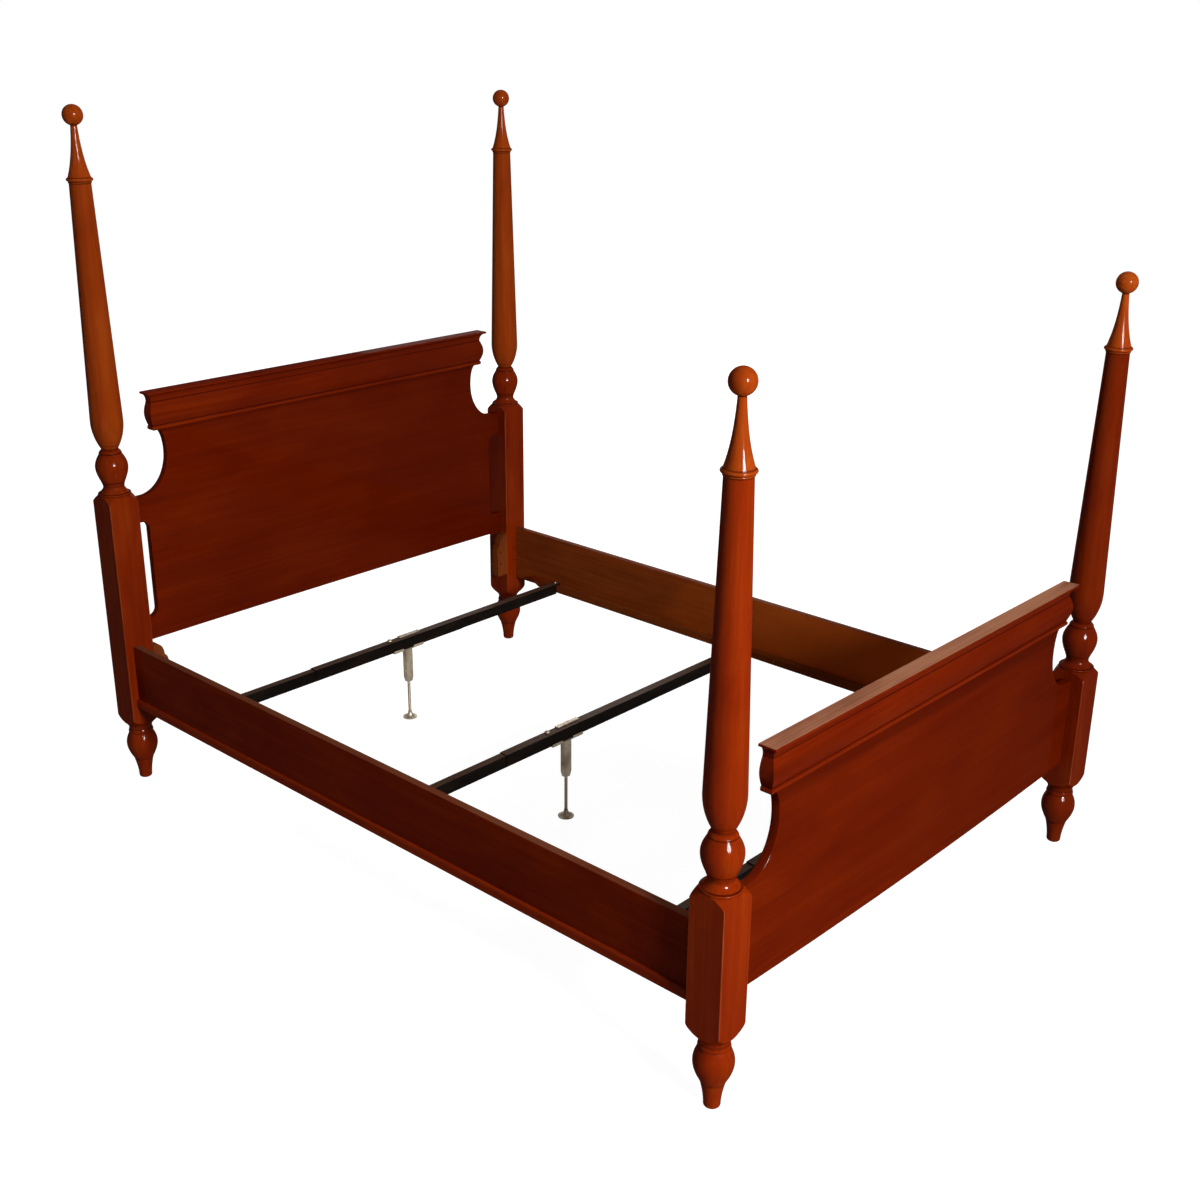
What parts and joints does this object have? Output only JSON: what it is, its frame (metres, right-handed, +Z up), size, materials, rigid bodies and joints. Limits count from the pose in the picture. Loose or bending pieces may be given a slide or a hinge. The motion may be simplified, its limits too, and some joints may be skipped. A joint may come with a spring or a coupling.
{
  "type": "four-poster bed",
  "caption": "Cherry-stained four-poster bed with turned, tapered posts, spire finials, scroll-cut head and foot boards under moulded crowns, hooked side rails and steel cross rails on legs",
  "frame": {"origin": "on the floor, in the middle of the footprint", "axes": "+X across the bed to the right as seen from the foot end, +Y along the bed from the foot end to the head end, +Z up"},
  "size_m": [1.63, 2.28, 1.9375],
  "materials": {
    "cherry_wood": "gloss",
    "pale_wood": "matt",
    "black_steel": "satin",
    "bare_steel": "satin"
  },
  "bodies": {
    "frame": {"head_post_left": "cherry_wood", "head_post_right": "cherry_wood", "foot_post_left": "cherry_wood", "foot_post_right": "cherry_wood", "head_shaft_left": "cherry_wood", "head_shaft_right": "cherry_wood", "foot_shaft_left": "cherry_wood", "foot_shaft_right": "cherry_wood", "head_finial_left": "cherry_wood", "head_finial_right": "cherry_wood", "foot_finial_left": "cherry_wood", "foot_finial_right": "cherry_wood", "post_studs": "bare_steel", "headboard_panel": "cherry_wood", "headboard_frieze": "cherry_wood", "headboard_bead": "cherry_wood", "headboard_cap": "cherry_wood", "footboard_panel": "cherry_wood", "footboard_frieze": "cherry_wood", "footboard_bead": "cherry_wood", "footboard_cap": "cherry_wood", "frame_block_left": "pale_wood", "frame_block_right": "pale_wood", "frame_block_dowels": "pale_wood", "side_rail_left": "cherry_wood", "side_rail_right": "cherry_wood", "rail_moulding_left": "cherry_wood", "rail_moulding_right": "cherry_wood", "rail_ledger_left": "pale_wood", "rail_ledger_right": "pale_wood", "ledger_screws": "bare_steel", "hook_plate_head_left": "bare_steel", "hook_plate_head_right": "bare_steel", "hook_plate_foot_left": "bare_steel", "hook_plate_foot_right": "bare_steel", "hook_rivets": "bare_steel", "hook_pins": "bare_steel", "cross_rail_head_inner": "black_steel", "cross_rail_head_outer": "black_steel", "cross_rail_middle_inner": "black_steel", "cross_rail_middle_outer": "black_steel", "cross_rail_foot_inner": "black_steel", "cross_rail_foot_outer": "black_steel", "cross_rail_screws": "bare_steel", "leg_bracket_head": "bare_steel", "leg_bracket_middle": "bare_steel", "leg_bracket_foot": "bare_steel", "leg_channel_head": "bare_steel", "leg_channel_middle": "bare_steel", "leg_channel_foot": "bare_steel", "leg_blocks": "bare_steel", "leg_rivets": "bare_steel", "clamp_bolts": "bare_steel"},
    "glide_head": {"leg_glide_head": "bare_steel"},
    "stem_head": {"leg_stem_head": "bare_steel"},
    "glide_middle": {"leg_glide_middle": "bare_steel"},
    "stem_middle": {"leg_stem_middle": "bare_steel"},
    "glide_foot": {"leg_glide_foot": "bare_steel"},
    "stem_foot": {"leg_stem_foot": "bare_steel"}
  },
  "joints": [
    {"name": "glide_head_height", "type": "slide", "parent": "frame", "child": "glide_head", "axis": [0, 0, 1], "range_m": [-0.012, 0.039]},
    {"name": "stem_head_turn", "type": "hinge", "parent": "glide_head", "child": "stem_head", "pos_m": [0.058, 0.831, 0.1], "axis": [0, 0, 1], "range_deg": [-2881, 9361]},
    {"name": "glide_middle_height", "type": "slide", "parent": "frame", "child": "glide_middle", "axis": [0, 0, 1], "range_m": [-0.012, 0.039]},
    {"name": "stem_middle_turn", "type": "hinge", "parent": "glide_middle", "child": "stem_middle", "pos_m": [-0.075, -0.007, 0.1], "axis": [0, 0, 1], "range_deg": [-2881, 9361]},
    {"name": "glide_foot_height", "type": "slide", "parent": "frame", "child": "glide_foot", "axis": [0, 0, 1], "range_m": [-0.012, 0.039]},
    {"name": "stem_foot_turn", "type": "hinge", "parent": "glide_foot", "child": "stem_foot", "pos_m": [0.058, -0.845, 0.1], "axis": [0, 0, 1], "range_deg": [-2881, 9361]}
  ],
  "couplings": [
    {"joint": "stem_head_turn", "follows": "glide_head_height", "rad_per_m": 4188.8},
    {"joint": "stem_middle_turn", "follows": "glide_middle_height", "rad_per_m": 4188.8},
    {"joint": "stem_foot_turn", "follows": "glide_foot_height", "rad_per_m": 4188.8}
  ]
}
